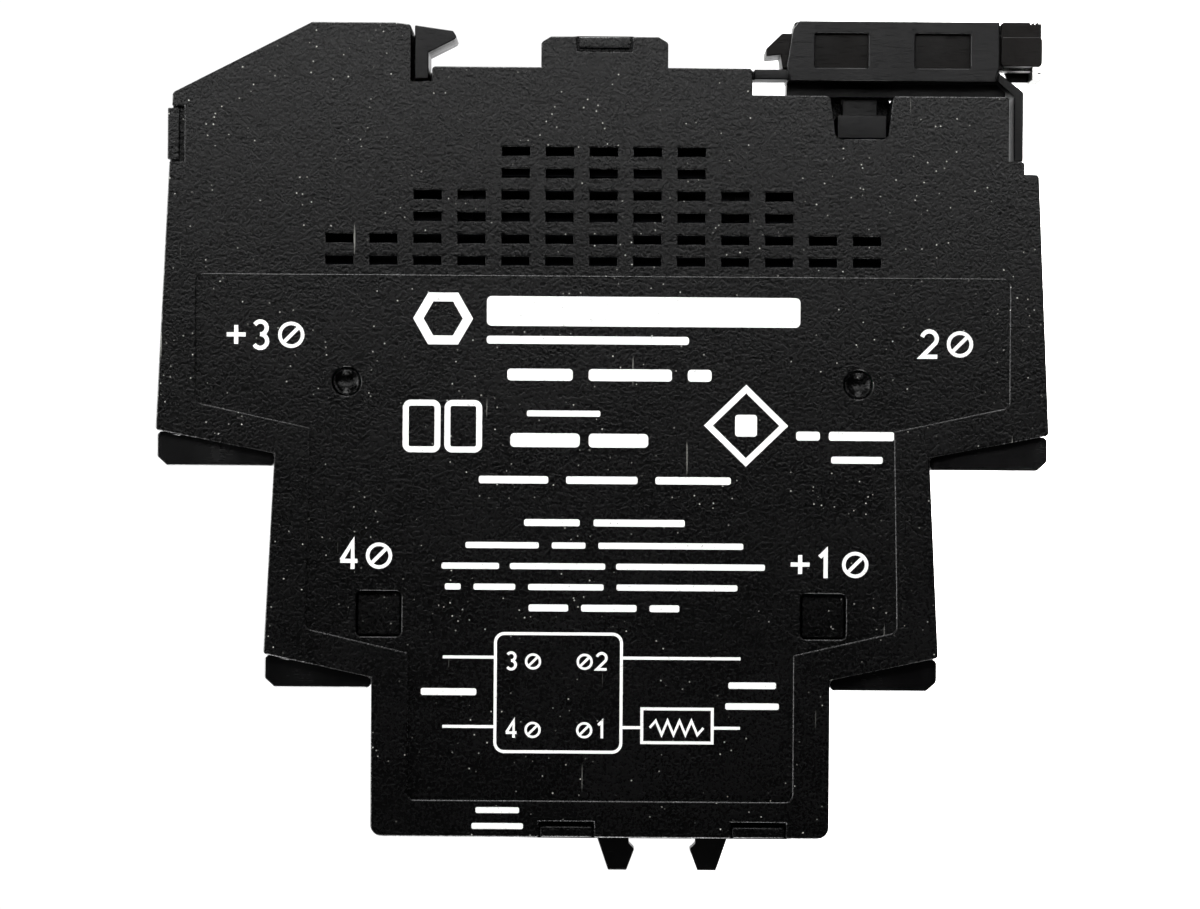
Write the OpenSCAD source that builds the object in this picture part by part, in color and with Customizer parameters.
// Solid state relay for a 35 mm top-hat rail.
// Frame: +Y points at the rail, -Y is the front, +Z is up, X runs along the rail.
// The origin is on the plane where the rail flanges rest, at the middle of the rail.
// Profiles are drawn as [y, z] points and extruded along X.

/* [Housing] */
// Width of the housing along the rail
body_w = 18; // [17.5:0.1:20]
// Thickness of the tray floor and of the cover plate
plate_t = 1.6; // [1.4:0.1:1.8]
// Thickness of the perimeter wall
wall_t = 1.5; // [1.3:0.1:1.6]
// Height of the first tier at its widest
tier1_h = 90; // [89:0.5:92]
// Height of the second tier at its widest
tier2_h = 68; // [67.5:0.5:69]
// Height of the front tier
tier3_h = 46.2; // [45.8:0.2:46.6]
// Depth from the rail plane to the front face of the first tier
tier1_d = 40.4; // [40:0.2:41]
// Depth from the rail plane to the front face of the second tier
tier2_d = 62.7; // [62.4:0.1:63]
// Depth from the rail plane to the front face
tier3_d = 77.6; // [77:0.2:79]

/* [Vents] */
// Length of one vent slot
vent_l = 2.8; // [2.4:0.1:3.2]
// Height of one vent slot
vent_w = 0.9; // [0.7:0.1:1.1]
// Distance between the centres of neighbouring slots in a row
vent_pitch = 4.43; // [4.2:0.01:4.6]
// Distance between rows
vent_row = 2.21; // [2:0.01:2.3]

/* [Rail] */
// Height of the rail that the foot clips on
rail_h = 35; // [34.8:0.1:35.2]
// Gap between a claw and the rail plane
claw_gap = 1.4; // [1.3:0.05:1.5]
// Travel of the sprung foot
foot_travel = 3.5; // [3:0.1:3.6]

/* [Terminals] */
// Diameter of the screwdriver hole
driver_d = 4.2; // [4:0.1:4.4]
// Diameter of the clamp screw's thread
thread_d = 3.5; // [3:0.1:3.5]
// Travel of the clamp cage
cage_travel = 3.6; // [3:0.1:3.6]
// Height of the wire space when the cage is open
wire_h = 4.4; // [4.3:0.05:4.5]
// Width of the wire space
wire_w = 4.8; // [4.4:0.1:5]

/* [Hidden] */
$fn = 48;

// Gap left between two pieces that touch in the real assembly.
fit = 0.05;
half_w = body_w / 2;
cover_x = half_w - plate_t;
floor_x = -half_w + plate_t;
draft = 1.5;

// The rail side.
tier1_back_y = -2.8;
shoulder_y = 4.4;
shoulder_z = 29.5;
hook_slot_z = [17.4, 19.5];
hook_slot_y = -1.5;
plinth_h = 3.1;
plinth_z = 6.4;
bay_z = [-14.9, -40.8];
bay_y = -2.7;
notch_y = -7.05;
notch_mouth_z = [-22.8, -29.1];
notch_floor_z = [-23.4, -28.6];
notch_r = 0.4;
arm_slot_y = -9.2;
arm_slot_z = -42.4;
step_y = -10.5;

// The steps: z of each tier at its front edge, and y where its side wall ends.
tier1_z = tier1_h / 2;
tier2_z = tier2_h / 2;
tier3_z = tier3_h / 2;
tier2_back_z = tier2_z - 1;
slant1_y = [-tier1_d + 3.6, -tier1_d + 1.3];
slant2_y = [-tier2_d + 3.4, -tier2_d + 1.1];
edge_r = 1.2;

// Snap arms of the tray: [y, z, length] of each, and the side that it is on.
snap_l = 5.2;
snap_t = 0.9;
snap_gap = 0.5;
side_snap = [-6.95, tier1_z - draft * 0.87];
front_snap_z = [3.35, -16.0];

// Latch posts and locating pins of the tray, which show in the cover.
post = 4.6;
post_pos = [-55.2, 22.4];
pin_d = 2.95;
pin_pos = [-31.8, 25.8];

// Depths inside a terminal, measured from the front face of its tier.
head_cavity_d = [3.2, 6.0];
head_d = [3.4, 5.8];
shelf_d = 7.0;
cage_top_open = shelf_d + cage_travel + 0.25;
cage_top_t = 1.3;
bar_d = [cage_top_open + cage_top_t + 0.1, cage_top_open + cage_top_t + 1.1];
jaw_open = bar_d[1] + wire_h;
jaw_t = 1.2;
cage_end = jaw_open + jaw_t;
block_d = cage_end + 1.6;
cage_w = wire_w + 2;
cage_l = 5.2;
block_w = 10;
block_half_x = cover_x - fit;
term_z = [38.9, 28.1];
block_z = [[-5.2, 3.8], [-3.45, 3.5]];
tail_in = [7.6, 8.6];
wire_d = (bar_d[1] + jaw_open) / 2;

// The board and what stands on it.
board_x = [-4.8, -3.2];
chip_x = board_x[1];

// The foot: its carrier is a channel that the slide runs in.
carrier_z = [-18.4, -39.8];
carrier_y = [-1.15, 4.85];
carrier_half_x = 8.4;
carrier_wall = 1.4;
slide_half_x = carrier_half_x - carrier_wall - 0.15;
slide_y = [0.1, 3.65];
claw_z = -rail_h / 2 - 0.25;
spring_z = [-27, -36];
spring_r = 1.4;
spring_wire = 0.35;
// As many turns as still fit under the pulled foot.
spring_turns = floor((spring_z[0] - spring_z[1] - foot_travel) / (2 * spring_wire));
// The bar and the tongue of the carrier, which both enter the housing.
bar_x = [-2, 7];
bar_t = 1.0;
base_x = [-7.25, 1];
tongue_x = [-7.25, 7.9];
tongue_y = [-6.95, -4.6];
tongue_z = [-23.5, -28.5];

// ---------------------------------------------------------------- helpers

// Extrudes a [y, z] profile from x0 to x1.
module across(x0, x1) {
    translate([x0, 0, 0]) rotate([90, 0, 90]) linear_extrude(x1 - x0) children();
}

// A box from its lowest to its highest corner.
module span(a, b) {
    translate([min(a[0], b[0]), min(a[1], b[1]), min(a[2], b[2])])
        cube([abs(b[0] - a[0]), abs(b[1] - a[1]), abs(b[2] - a[2])]);
}

// A cylinder along Y from y0 to y1.
module rod_y(r, y0, y1) {
    translate([0, y1, 0]) rotate([90, 0, 0]) cylinder(r = r, h = y1 - y0);
}

// A cylinder along X from x0 to x1.
module rod_x(r, x0, x1) {
    translate([x0, 0, 0]) rotate([0, 90, 0]) cylinder(r = r, h = x1 - x0);
}

// A rectangle with its corners given as [y, z].
module pane(a, b) {
    translate([min(a[0], b[0]), min(a[1], b[1])]) square([abs(b[0] - a[0]), abs(b[1] - a[1])]);
}

// Rounds the outer corners of a profile.
module rounded(r) {
    offset(r = r) offset(delta = -r) children();
}

// ---------------------------------------------------------------- profiles

// z of the first tier's drafted side wall at a depth y.
function tier1_edge(y) =
    tier1_z - draft * (y - slant1_y[0]) / (tier1_back_y - slant1_y[0]);

// Front half of the outline on the side that sign names, from the side wall to the front face.
function front_half(sign) = [
    [slant1_y[0], sign * tier1_z],
    [slant1_y[1], sign * tier2_back_z],
    [slant2_y[0], sign * tier2_z],
    [slant2_y[1], sign * tier3_z],
    [-tier3_d, sign * tier3_z]
];

function reversed(list) = [for (i = [len(list) - 1:-1:0]) list[i]];

// Outline that the tray and the cover share.
module body_outline() {
    rounded(0.4) polygon(concat(
        [
            [tier1_back_y, tier1_edge(tier1_back_y)],
            [shoulder_y, shoulder_z],
            [shoulder_y, 21.2],
            [shoulder_y - 0.2, hook_slot_z[1]],
            [hook_slot_y, hook_slot_z[1]],
            [hook_slot_y, hook_slot_z[0]],
            [0, hook_slot_z[0]],
            [0, plinth_z],
            [plinth_h - 0.6, plinth_z],
            [plinth_h, plinth_z - 1],
            [plinth_h, -plinth_z + 1],
            [plinth_h - 0.6, -plinth_z],
            [0, -plinth_z],
            [0, bay_z[0]],
            [bay_y, bay_z[0]],
            [bay_y, notch_mouth_z[0]],
            [notch_y + notch_r, notch_floor_z[0] + 0.05],
            [notch_y, notch_floor_z[0] - notch_r],
            [notch_y, notch_floor_z[1] + notch_r],
            [notch_y + notch_r, notch_floor_z[1] - 0.05],
            [bay_y, notch_mouth_z[1]],
            [bay_y, bay_z[1]],
            [arm_slot_y, bay_z[1]],
            [arm_slot_y, arm_slot_z],
            [step_y, arm_slot_z],
            [step_y, -tier1_edge(step_y)]
        ],
        front_half(-1),
        reversed(front_half(1))
    ));
}

// Outline with the wide radii of the front corners.
module shell_outline() {
    intersection() {
        body_outline();
        union() {
            pane([-tier3_d + 4, -50], [20, 50]);
            rounded(edge_r) pane([-tier3_d, -tier3_z], [-tier3_d + 10, tier3_z]);
        }
    }
}

// Outline of the tray's floor, which closes the hook's slot and the notch behind them.
module floor_outline() {
    shell_outline();
    pane([hook_slot_y - 0.1, hook_slot_z[0] - 0.1], [0, hook_slot_z[1] + 0.1]);
    pane([-0.1, hook_slot_z[1] - 1], [shoulder_y - 0.6, hook_slot_z[1] + 0.1]);
    pane([notch_y - 0.1, notch_mouth_z[0] + 0.1], [bay_y + 0.9, notch_mouth_z[1] - 0.1]);
}

// The band that a wall of thickness t takes inside the outline.
module wall_band(t) {
    difference() {
        shell_outline();
        offset(delta = -t) shell_outline();
    }
}

// Shallow panel that holds the printing.
module label_panel() {
    half = [[-21.1, 41], [-34, 41], [-36.5, 29.4], [-56.7, 29.8], [-59.1, 19.4], [-73.9, 19.4]];
    rounded(0.7) polygon(concat(half, reversed([for (p = half) [p[0], -p[1]]])));
}

// Slots of one row that reaches n columns each side of the middle.
module vent_line(y, n) {
    for (i = [-n:n]) pane([y - vent_w / 2, i * vent_pitch - vent_l / 2],
                          [y + vent_w / 2, i * vent_pitch + vent_l / 2]);
}

// The stepped field of vents: two rows of 5, two of 9 and two of 13.
module vent_field() {
    for (row = [0:5]) vent_line(-8.5 - row * vent_row, 2 + 2 * floor(row / 2));
}

// ---------------------------------------------------------------- housing

// Where the blocks show through the tray: their mouths, and the wire windows in the side walls.
module terminal_mouths() {
    for (t = [0, 1]) for (sign = [1, -1]) {
        front = t == 0 ? -tier1_d : -tier2_d;
        outer = t == 0 ? tier1_z : tier2_z;
        inner = outer - (t == 0 ? 11.35 : 10.4);
        slant = t == 0 ? slant1_y : slant2_y;
        span([floor_x, front, sign * inner], [half_w, slant[1] + 4, sign * (outer - wall_t)]);
        span([-wire_w / 2 - 0.9, front + bar_d[1] - 0.9, sign * (outer - 4)],
             [wire_w / 2 + 0.9, front + jaw_open + 0.9, sign * (outer + 1)]);
    }
}

// Snap arms on the side wall, on the plinth and on the front wall.
module snap_arms() {
    reach = [-2, half_w - 0.1];
    z0 = side_snap[1] - snap_t;
    span([reach[0], side_snap[0] - snap_l / 2, z0],
         [reach[1], side_snap[0] + snap_l / 2, z0 + snap_t + 0.3]);
    span([0, plinth_h - snap_t - 0.2, -snap_l / 2], [reach[1], plinth_h - 0.05, snap_l / 2]);
    for (z = front_snap_z)
        span([0, -tier3_d + 0.05, z - snap_l / 2],
             [reach[1], -tier3_d + snap_t + 0.2, z + snap_l / 2]);
}

// Notches in the cover that the arms hook into.
module snap_notches() {
    c = 0.2;
    pane([side_snap[0] - snap_l / 2 - c, side_snap[1] - snap_t - snap_gap],
         [side_snap[0] + snap_l / 2 + c, side_snap[1] + 3]);
    pane([plinth_h - snap_t - 0.2 - 0.4, -snap_l / 2 - c], [plinth_h + 1, snap_l / 2 + c]);
    for (z = front_snap_z)
        pane([-tier3_d - 1, z - snap_l / 2 - c],
             [-tier3_d + snap_t + 0.2 + snap_gap, z + snap_l / 2 + c]);
}

// Ribs that hold the board off the floor, with pegs through it.
module board_rests() {
    for (p = [[-7, 26], [-7, -12], [-37, 14], [-37, -14], [-70, 16], [-70, -16]])
        translate([0, p[0], p[1]]) {
            rod_x(2.2, floor_x - 0.5, board_x[0] - fit);
            rod_x(1.0, floor_x, board_x[1] + 0.8);
        }
}

module housing_tray() {
    color([0.05, 0.05, 0.055]) {
        difference() {
            union() {
                across(-half_w, floor_x) floor_outline();
                across(floor_x - 0.5, cover_x - fit) wall_band(wall_t);
                snap_arms();
            }
            terminal_mouths();
            across(-half_w - 1, floor_x + 1) vent_field();
            // The hook's root, the foot's bar, the light guide and the marker holder's prongs.
            span([-4.2, hook_slot_y - wall_t - 1, 17.8], [4.2, 0, 19.15]);
            span([bar_x[0] - 0.1, -bar_t - 0.1, bay_z[0] - 1], [bar_x[1] - 1.9, 0.1, bay_z[0] + 2.2]);
            translate([light_x, 0, light_z]) rod_y(1.55, -tier3_d - 1, -tier3_d + 4);
            for (z = prong_root_z) span([-3.1, -tier3_d - 1, z[0]], [3.1, -tier3_d + 3, z[1]]);
        }
        board_rests();
        for (sign = [1, -1]) {
            translate([0, post_pos[0], sign * post_pos[1]]) latch_post();
            translate([0, pin_pos[0], sign * pin_pos[1]]) locating_pin();
        }
    }
}

// Square post that the cover's window snaps over.
module latch_post() {
    half = post / 2 - 0.15;
    span([floor_x - 0.5, -half, -half], [cover_x + 0.2, half, half]);
}

// Round pin with a dished end.
module locating_pin() {
    difference() {
        rod_x(pin_d / 2 - 0.1, floor_x - 0.5, cover_x + 0.5);
        translate([cover_x + 1.7, 0, 0]) sphere(r = 1.7);
    }
}

module side_cover() {
    color([0.06, 0.06, 0.065]) {
        difference() {
            union() {
                across(cover_x, half_w) shell_outline();
                // Rim that centres the plate in the tray.
                across(cover_x - 1, cover_x + 0.2) cover_rim();
            }
            across(half_w - 0.3, half_w + 1) label_panel();
            across(cover_x - 2, half_w + 1) union() {
                vent_field();
                snap_notches();
                for (sign = [1, -1]) {
                    translate([post_pos[0], sign * post_pos[1]])
                        rounded(0.6) square(post, center = true);
                }
            }
            for (sign = [1, -1]) translate([0, pin_pos[0], sign * pin_pos[1]])
                rod_x(pin_d / 2, cover_x - 2, half_w + 1);
        }
    }
}

// The rim stays off the corners where the terminal blocks stand.
module cover_rim() {
    intersection() {
        difference() {
            offset(delta = -wall_t - 0.1) shell_outline();
            offset(delta = -wall_t - 1.1) shell_outline();
        }
        union() {
            pane([-19.4, -60], [-3.2, 60]);
            pane([-tier3_d, -16], [-tier3_d + 6, 16]);
        }
    }
}

// ---------------------------------------------------------------- rail fittings

// Fixed claw that hangs over the upper edge of the rail.
module rail_hook() {
    z = rail_h / 2 + 0.25;
    top = z + 1.4;
    color([0.05, 0.05, 0.055]) {
        across(floor_x + 0.1, half_w - 0.3) polygon([
            [hook_slot_y + 0.25, z], [hook_slot_y + 0.25, top], [4.15, top], [3.6, 15.3],
            [3.05, 14.95], [2.75, 15.1], [claw_gap, z]
        ]);
        span([-4, hook_slot_y - wall_t - 0.15, z + 0.15], [4, hook_slot_y + 0.5, top - 0.15]);
        span([-4, hook_slot_y - wall_t - 1.6, z - 1], [4, hook_slot_y - wall_t - 0.1, top + 1.2]);
    }
}

// Channel that guides the foot. It plugs into the notch and clips over the end of the housing.
module foot_carrier() {
    hx = carrier_half_x;
    inner = hx - carrier_wall;
    color([0.07, 0.07, 0.072]) difference() {
        union() {
            for (side = [1, -1]) {
                x = side > 0 ? [inner, hx] : [-hx, -inner];
                across(x[0], x[1]) carrier_side();
            }
            // Roof and floor of the channel.
            across(-inner - 0.1, inner + 0.1) pane([3.8, carrier_z[0] - 0.7], [carrier_y[1], carrier_z[1]]);
            span([-inner - 0.1, carrier_y[0], carrier_z[0]], [inner + 0.1, 0, carrier_z[1]]);
            // Bar that enters the housing at the bay's end.
            span([bar_x[0], -bar_t, bay_z[0] - 0.2], [bar_x[1], 0, carrier_z[0] - 0.2]);
            span([bar_x[0], -bar_t, bay_z[0] + 1.5], [bar_x[1] - 2, -0.1, bay_z[0] - 0.4]);
            // Base under the channel, which rests on the housing.
            span([base_x[0], bay_y + 0.1, carrier_z[0] - 0.1],
                 [base_x[1], carrier_y[0] + 0.1, bay_z[1] + 0.1]);
            // Tongue that plugs into the notch.
            span([base_x[0], tongue_y[1] - 0.1, tongue_z[0] - 0.7],
                 [base_x[1] - 2, carrier_y[0], tongue_z[1] + 0.7]);
            span([tongue_x[0], tongue_y[0], tongue_z[0]], [tongue_x[1], tongue_y[1], tongue_z[1]]);
            // Arm over the end of the housing.
            across(-6, 6) polygon([
                [0, -39.6], [-0.1, carrier_z[1]], [-2.1, -42.35], [-9.1, -42.35],
                [-9.1, -41.4], [-2.55, -41.4], [carrier_y[0], carrier_z[1]], [carrier_y[0], -39.6]
            ]);
            spring_peg();
        }
        // Pull the roof's front corner back to the bevel of the sides.
        across(-20, 20) polygon([[carrier_y[1] - 0.8, -18], [carrier_y[1] + 1, -18],
                                 [carrier_y[1] + 1, -19.6], [carrier_y[1], -19.4]]);
    }
}

// One side of the channel, with its two windows.
module carrier_side() {
    difference() {
        polygon([
            [carrier_y[0], carrier_z[0] - 0.3], [0.4, carrier_z[0]], [carrier_y[1] - 0.8, carrier_z[0] - 0.6],
            [carrier_y[1], carrier_z[0] - 1.2], [carrier_y[1], carrier_z[1]], [0.35, carrier_z[1]],
            [carrier_y[0], carrier_z[1] + 0.4]
        ]);
        rounded(0.3) pane([0.15, -21.2], [3.65, -26.6]);
        rounded(0.3) pane([0.15, -31.3], [3.65, -36.9]);
    }
}

// Peg that the foot's spring pushes against.
module spring_peg() {
    span([-1.3, -0.5, spring_z[1]], [1.3, 3.2, spring_z[1] - 1.5]);
    translate([0, 1.85, 0]) translate([0, 0, spring_z[1]]) cylinder(r = 0.7, h = 1.2);
}

// Sprung foot: claw, body with the spring's pocket, and the block that a screwdriver pulls.
module foot_slide() {
    hx = slide_half_x;
    color([0.13, 0.09, 0.07]) difference() {
        union() {
            across(-hx, hx) polygon([
                [slide_y[0], claw_z - 0.2], [claw_gap + 0.1, claw_z], [claw_gap - 0.05, -16.3],
                [2.1, -16.3], [slide_y[1], -17.9], [slide_y[1], -40.3], [slide_y[0], -40.3]
            ]);
            across(-7.6, 7.6) rounded(0.35) pane([0.45, -39.95], [3.4, -44.15]);
            across(-7.35, 7.35) rounded(0.35) pane([0.45, -39.95], [4.9, -44.05]);
            across(-5, 0) polygon([[0.6, -40.6], [0.6, -43.2], [-0.75, -43.2], [-0.75, -41.2]]);
        }
        span([-1.8, -1, spring_z[0]], [1.8, slide_y[1] + 1, spring_z[1] - 2]);
        // Groove of the steel strip.
        span([-3, -1, claw_z - 1.2], [3, 0.75, -44.5]);
        // Screwdriver slot.
        span([-3, 1.2, -41], [3, 6, -42.6]);
        // Grip grooves across the block's back.
        for (i = [0:2]) span([-8, 4.65, -42.95 - i * 0.4], [8, 5.2, -43.1 - i * 0.4]);
    }
}

// Steel strip under the slide, folded back under the end of the block.
module foot_strip() {
    color([0.75, 0.75, 0.74]) difference() {
        union() {
            span([-2.9, 0.15, claw_z - 1.4], [2.9, 0.65, -44.15]);
            span([-7.4, -0.85, -43.2], [7.4, 0.4, -44.2]);
        }
        span([-1.95, -2, spring_z[0] + 0.2], [1.95, 2, spring_z[1] - 2.2]);
        // The fold: two layers with a narrow gap that opens outwards.
        span([-8, -0.3, -43.7], [8, -0.15, -44.5]);
    }
}

// Compression spring, drawn as a row of rings so that each turn is a true torus.
module foot_spring() {
    free = spring_z[0] - spring_z[1] - 2 * spring_wire;
    color([0.7, 0.7, 0.68]) translate([0, 1.85, 0]) {
        for (i = [0:spring_turns - 1])
            translate([0, 0, spring_z[1] + spring_wire + i * free / (spring_turns - 1)])
                rotate_extrude() translate([spring_r, 0]) circle(r = spring_wire, $fn = 16);
        for (i = [0:spring_turns - 2])
            translate([0, (i % 2 == 0 ? 1 : -1) * spring_r,
                       spring_z[1] + spring_wire + i * free / (spring_turns - 1)])
                cylinder(r = spring_wire * 0.9, h = free / (spring_turns - 1), $fn = 16);
    }
}

// ---------------------------------------------------------------- front fittings

light_x = -1.2;
light_z = 10.8;
prong_root_z = [[-3.05, 0.4], [-13.1, -9.65]];

// Holder of the snap-in marker: a plate behind the front wall with two claws through it.
module marker_holder() {
    mid = -6.35;
    y = -tier3_d;
    color([0.05, 0.05, 0.055]) {
        for (side = [1, -1]) across(-3, 3) polygon([
            [y + wall_t + 0.2, mid + side * 3.4], [y + 0.3, mid + side * 3.4],
            [y - 0.8, mid + side * 3.35], [y - 1.35, mid + side * 2.8],
            [y - 3.5, mid + side * 3.6], [y - 3.5, mid + side * 5.45],
            [y, mid + side * 6.65], [y + wall_t + 0.2, mid + side * 6.65]
        ]);
        span([-4, y + wall_t + 0.1, mid - 7.4], [4, y + wall_t + 1.3, mid + 7.4]);
    }
}

// Clear rod that brings the light of the status lamp to the front.
module light_guide() {
    color([0.75, 0.85, 0.78, 0.5]) translate([light_x, 0, light_z]) {
        rod_y(1.5, -tier3_d - 0.25, -tier3_d + 3.2);
        rod_y(2.1, -tier3_d + wall_t + 0.05, -tier3_d + 2.6);
    }
}

// Three millimetre lamp on the board's front edge.
module status_led() {
    y = -tier3_d + 3.3;
    color([0.2, 0.6, 0.25, 0.7]) translate([light_x, 0, light_z]) {
        rod_y(1.4, y, y + 1.4);
        rod_y(1.7, y + 1.4, y + 2.2);
        for (z = [-0.9, 0.9]) {
            translate([0, 0, z]) span([-0.2, y + 2.1, -0.2], [0.2, y + 5.2, 0.2]);
            translate([0, 0, z]) span([chip_x - light_x - 2.2, y + 4.8, -0.2], [0.2, y + 5.2, 0.2]);
        }
    }
}

// ---------------------------------------------------------------- electronics

module board_profile() {
    polygon([
        [-5.2, 30.5], [-10, 33.1], [-36.9, 33.1], [-36.9, 30.8], [-42, 30.8], [-42, 21.4],
        [-73.6, 21.4], [-73.6, -21.4], [-42, -21.4], [-42, -30.8], [-36.9, -30.8],
        [-36.9, -33.1], [-12.2, -33.1], [-12.2, -30], [-9.2, -30], [-9.2, -20.8], [-5.2, -20.8]
    ]);
}

module circuit_board() {
    color([0.05, 0.3, 0.15]) difference() {
        across(board_x[0], board_x[1]) board_profile();
        for (p = [[-7, 26], [-7, -12], [-37, 14], [-37, -14], [-70, 16], [-70, -16]])
            translate([0, p[0], p[1]]) rod_x(1.1, -10, 0);
        for (sign = [1, -1]) {
            translate([0, post_pos[0], sign * post_pos[1]])
                span([-10, -2.5, -2.5], [0, 2.5, 2.5]);
            translate([0, pin_pos[0], sign * pin_pos[1]]) rod_x(1.7, -10, 0);
            for (t = [0, 1]) bar_slot(t, sign);
            heat_sink_slot(sign);
        }
        for (z = thyristor_z) for (i = [-1:1])
            translate([0, -30.6, z + i * 2.54]) rod_x(0.55, -10, 0);
        for (z = [-0.9, 0.9]) translate([0, -tier3_d + 8.3, light_z + z]) rod_x(0.45, -10, 0);
        for (z = [-17.5, -7.5]) translate([0, -58, z]) rod_x(0.4, -10, 0);
    }
}

// Slot in the board for a contact bar's tail.
module bar_slot(t, sign) {
    y = terminal_y(t);
    z = tail_z(t);
    span([-10, y + bar_d[0] - 0.1, sign * (z - 0.1)], [0, y + bar_d[1] + 0.1, sign * (z + 1.3)]);
}

sink_x = [1.6, 3.4];
sink_y = [-25.5, -5];
sink_z = 29.5;
thyristor_z = [13, -13];
tab_hole_y = -12.5;

// Finned plate behind the vents, on two feet that go into the board.
module heat_sink() {
    color([0.09, 0.09, 0.1]) difference() {
        union() {
            span([sink_x[0], sink_y[0], -sink_z], [sink_x[1], sink_y[1], sink_z]);
            for (i = [0:4]) {
                y = sink_y[0] + 0.4 + i * 4.72;
                span([sink_x[1] - 0.1, y, -sink_z], [5.8, y + 1.1, sink_z]);
            }
            for (sign = [1, -1])
                span([board_x[0] - 1.2, -18.5, sign * (sink_z - 1.6)], [sink_x[0] + 0.1, -16.5, sign * sink_z]);
        }
        // Clear of the notch that the foot's carrier plugs into.
        span([0, -9.2, -20.6], [8, 0, -32]);
        for (z = thyristor_z) translate([0, tab_hole_y, z]) {
            rod_x(1.65, 0, 3.5);
            rod_x(3.2, sink_x[1], 8);
        }
    }
}

module heat_sink_slot(sign) {
    span([-10, -18.6, sign * (sink_z - 1.7)], [0, -16.4, sign * (sink_z + 0.1)]);
}

// Insulating pads between the thyristors and the sink.
module thermal_pads() {
    color([0.75, 0.72, 0.6]) for (z = thyristor_z) difference() {
        span([sink_x[0] - 0.3, -25.2, z - 6], [sink_x[0] - 0.02, -8.6, z + 6]);
        translate([0, tab_hole_y, z]) rod_x(1.65, 0, 3);
    }
}

// Power thyristor in a three-lead package with a metal tab.
module thyristor(z) {
    tab_x = sink_x[0] - 0.32;
    translate([0, 0, z]) {
        color([0.7, 0.7, 0.68]) difference() {
            span([tab_x - 1.3, -17, -5], [tab_x, -9.2, 5]);
            translate([0, tab_hole_y, 0]) rod_x(1.8, -5, 5);
        }
        color([0.08, 0.08, 0.08]) span([tab_x - 4.4, -25, -5], [tab_x, -16, 5]);
        color([0.75, 0.75, 0.72]) for (i = [-1:1]) {
            span([tab_x - 2.8, -30.9, i * 2.54 - 0.35], [tab_x - 2.3, -24.9, i * 2.54 + 0.35]);
            span([board_x[0] - 0.8, -30.9, i * 2.54 - 0.35], [tab_x - 2.3, -30.3, i * 2.54 + 0.35]);
        }
    }
}

module thyristor_screws() {
    color([0.75, 0.75, 0.73]) for (z = thyristor_z) translate([0, tab_hole_y, z]) difference() {
        union() {
            rod_x(1.5, -2.9, sink_x[1] + 0.1);
            rod_x(2.9, sink_x[1] + 0.02, sink_x[1] + 2.1);
        }
        span([sink_x[1] + 1.2, -3, -0.3], [9, 3, 0.3]);
        span([sink_x[1] + 1.2, -0.3, -3], [9, 0.3, 3]);
    }
}

module thyristor_nuts() {
    x = sink_x[0] - 0.32 - 1.3;
    color([0.75, 0.75, 0.73]) for (z = thyristor_z) translate([x - 2.02, tab_hole_y, z])
        rotate([0, 90, 0]) difference() {
            cylinder(r = 3.15, h = 2, $fn = 6);
            translate([0, 0, -1]) cylinder(r = 1.55, h = 4);
        }
}

// Six-lead package between the control and the load side.
module optocoupler() {
    y = -46;
    color([0.93, 0.93, 0.9]) span([chip_x + 0.5, y - 4.3, -3.2], [chip_x + 3.9, y + 4.3, 3.2]);
    color([0.75, 0.75, 0.72]) for (i = [-1:1]) for (s = [1, -1])
        span([chip_x + 0.02, y + i * 2.54 - 0.35, s * 3.1], [chip_x + 1.6, y + i * 2.54 + 0.35, s * 3.9]);
}

// Film capacitor of the snubber.
module snubber_capacitor() {
    color([0.75, 0.62, 0.2]) {
        span([chip_x + 0.05, -60.5, -18.5], [chip_x + 9.3, -55.5, -6.5]);
        for (z = [-17.5, -7.5]) translate([0, -58, z]) rod_x(0.3, chip_x - 1.5, chip_x + 0.2);
    }
}

module snubber_resistor() {
    color([0.3, 0.45, 0.55]) {
        translate([chip_x + 2.1, -65, -12.5]) cylinder(r = 1.9, h = 9, center = true);
        for (z = [-18.4, -6.6]) translate([0, -65, z]) rod_x(0.3, chip_x + 0.02, chip_x + 2.4);
        translate([chip_x + 2.1, -65, -18.4]) cylinder(r = 0.3, h = 11.8);
    }
}

// Disc varistor across the load terminals.
module varistor() {
    color([0.15, 0.3, 0.55]) {
        translate([chip_x + 5.2, -36.5, -24]) rod_y(5, -2, 2);
        for (z = [-26.5, -21.5]) translate([0, -36.5, z]) rod_x(0.35, chip_x + 0.02, chip_x + 1.2);
    }
}

module input_regulator() {
    color([0.08, 0.08, 0.08]) {
        span([chip_x + 0.1, -52.8, 9.5], [chip_x + 1.7, -49.2, 16]);
        for (i = [-1:1])
            span([chip_x + 0.02, -49.3, 12.75 + i * 2.3 - 0.4], [chip_x + 0.5, -47.8, 12.75 + i * 2.3 + 0.4]);
        span([chip_x + 0.02, -54.2, 11.2], [chip_x + 0.5, -52.7, 14.3]);
    }
}

module chip_resistors() {
    color([0.1, 0.1, 0.11]) for (row = [0:1]) for (i = [0:3])
        translate([0, -59 - row * 4.5, 4.5 + i * 3.6])
            span([chip_x + 0.02, -1.6, -0.8], [chip_x + 0.65, 1.6, 0.8]);
}

// Small pulse transformer that fires the thyristors.
module gate_transformer() {
    color([0.12, 0.1, 0.09]) {
        span([chip_x + 0.05, -40.5, -6.5], [chip_x + 7.6, -33, 6.5]);
        span([chip_x + 1.2, -41.6, -5], [chip_x + 6.4, -31.9, 5]);
    }
}

// ---------------------------------------------------------------- terminals

// Front face of a tier's terminals: t is 0 for the first tier and 1 for the second.
function terminal_y(t) = t == 0 ? -tier1_d : -tier2_d;

// z where the tail of a contact bar starts, on the inner side of its block.
function tail_z(t) = term_z[t] - tail_in[t];

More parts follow.
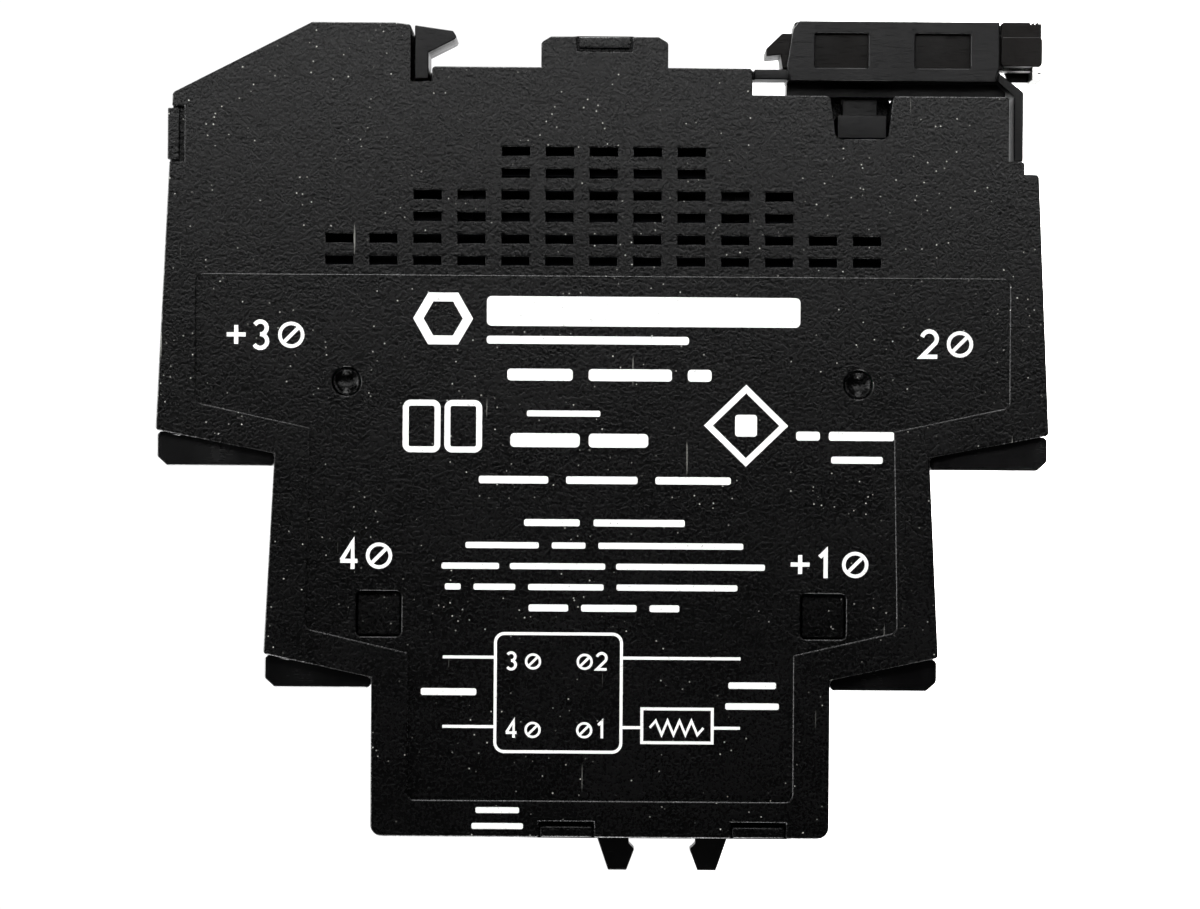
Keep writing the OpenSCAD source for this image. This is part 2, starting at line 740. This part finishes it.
// Places a terminal piece, drawn about [x, depth, offset from its screw], in the relay.
module at_terminal(t, sign) {
    translate([0, terminal_y(t), sign * term_z[t]]) scale([1, 1, sign]) children();
}

// Profile of a block: a nose that fills the step, and a body inside the housing.
module block_profile(t) {
    outer = (t == 0 ? tier1_z : tier2_z) - term_z[t];
    inner = (t == 0 ? tier2_back_z : tier3_z) - term_z[t];
    slant = t == 0 ? slant1_y : slant2_y;
    nose = slant - [1, 1] * terminal_y(t);
    union() {
        rounded(0.5) polygon([
            [0, inner + 0.1], [0, outer - 1.15], [0.95, outer - 0.1],
            [nose[0] - fit, outer - 0.1], [nose[1] - fit, inner + 0.1]
        ]);
        pane([0.6, block_z[t][0]], [block_d, block_z[t][1]]);
    }
}

// Insulating block with the screwdriver hole, the cage's chamber and the wire funnel.
module terminal_block(t, sign) {
    color([0.035, 0.035, 0.04]) at_terminal(t, sign) difference() {
        across(-block_half_x, block_half_x) block_profile(t);
        rod_y(driver_d / 2, -1, head_cavity_d[0] + 0.5);
        rod_y(2.6, head_cavity_d[0], head_cavity_d[1]);
        rod_y(thread_d / 2 + 0.15, head_cavity_d[1] - 0.5, shelf_d + 0.5);
        span([-cage_w / 2 - 0.15, shelf_d, -cage_l / 2 - 0.15],
             [cage_w / 2 + 0.15, cage_end + 0.2, cage_l / 2 + 0.15]);
        // Wire way, wider at its mouth.
        span([-wire_w / 2, bar_d[1], 2], [wire_w / 2, jaw_open, 9]);
        // The contact bar's way out.
        span([-2, bar_d[0] - 0.05, -9], [2, bar_d[1] + 0.05, 0]);
        // The mouth of the wire way stays clear of the nose.
        span([-block_half_x - 1, shelf_d, block_z[t][1]], [block_half_x + 1, block_d + 1, 9]);
    }
}

// Tinned copper bar from the cage to the board.
module contact_bar(t, sign) {
    tail = tail_z(t) - term_z[t];
    color([0.78, 0.76, 0.72]) at_terminal(t, sign) {
        span([-1.9, bar_d[0], tail], [1.9, bar_d[1], 2.6]);
        span([board_x[0] - 0.9, bar_d[0], tail], [-1.8, bar_d[1], tail + 1.2]);
    }
}

// Captive clamp screw with a combination recess.
module clamp_screw(t, sign) {
    color([0.78, 0.78, 0.76]) at_terminal(t, sign) difference() {
        union() {
            rod_y(2.4, head_d[0], head_d[1]);
            rod_y(thread_d / 2, head_d[1] - 0.1, bar_d[0] - 0.05);
        }
        span([-3, head_d[0] - 1, -0.4], [3, head_d[0] + 1.1, 0.4]);
        span([-0.35, head_d[0] - 1, -1.5], [0.35, head_d[0] + 1.4, 1.5]);
    }
}

// Steel cage that draws the wire against the bar.
module clamp_cage(t, sign) {
    color([0.72, 0.72, 0.68]) at_terminal(t, sign) difference() {
        span([-cage_w / 2, cage_top_open, -cage_l / 2], [cage_w / 2, cage_end, cage_l / 2]);
        span([-wire_w / 2, cage_top_open + cage_top_t, -cage_l], [wire_w / 2, jaw_open, cage_l]);
        rod_y(thread_d / 2 + 0.05, cage_top_open - 1, cage_top_open + cage_top_t + 1);
        // Serrations across the jaw.
        for (i = [-1:1]) span([-wire_w / 2 + 0.3, jaw_open - 0.1, i * 1.5 - 0.2],
                              [wire_w / 2 - 0.3, jaw_open + 0.2, i * 1.5 + 0.2]);
    }
}

housing_tray();
side_cover();
rail_hook();
foot_carrier();
foot_slide();
foot_strip();
foot_spring();
marker_holder();
light_guide();
status_led();
circuit_board();
heat_sink();
thermal_pads();
thyristor(thyristor_z[0]);  // thyristor_upper
thyristor(thyristor_z[1]);  // thyristor_lower
thyristor_screws();
thyristor_nuts();
optocoupler();
snubber_capacitor();
snubber_resistor();
varistor();
input_regulator();
chip_resistors();
gate_transformer();
terminal_block(0, 1);  // terminal_block_a1
terminal_block(1, 1);  // terminal_block_a2
terminal_block(1, -1);  // terminal_block_l1
terminal_block(0, -1);  // terminal_block_t1
contact_bar(0, 1);  // contact_bar_a1
contact_bar(1, 1);  // contact_bar_a2
contact_bar(1, -1);  // contact_bar_l1
contact_bar(0, -1);  // contact_bar_t1
clamp_screw(0, 1);  // clamp_screw_a1
clamp_screw(1, 1);  // clamp_screw_a2
clamp_screw(1, -1);  // clamp_screw_l1
clamp_screw(0, -1);  // clamp_screw_t1
clamp_cage(0, 1);  // clamp_cage_a1
clamp_cage(1, 1);  // clamp_cage_a2
clamp_cage(1, -1);  // clamp_cage_l1
clamp_cage(0, -1);  // clamp_cage_t1
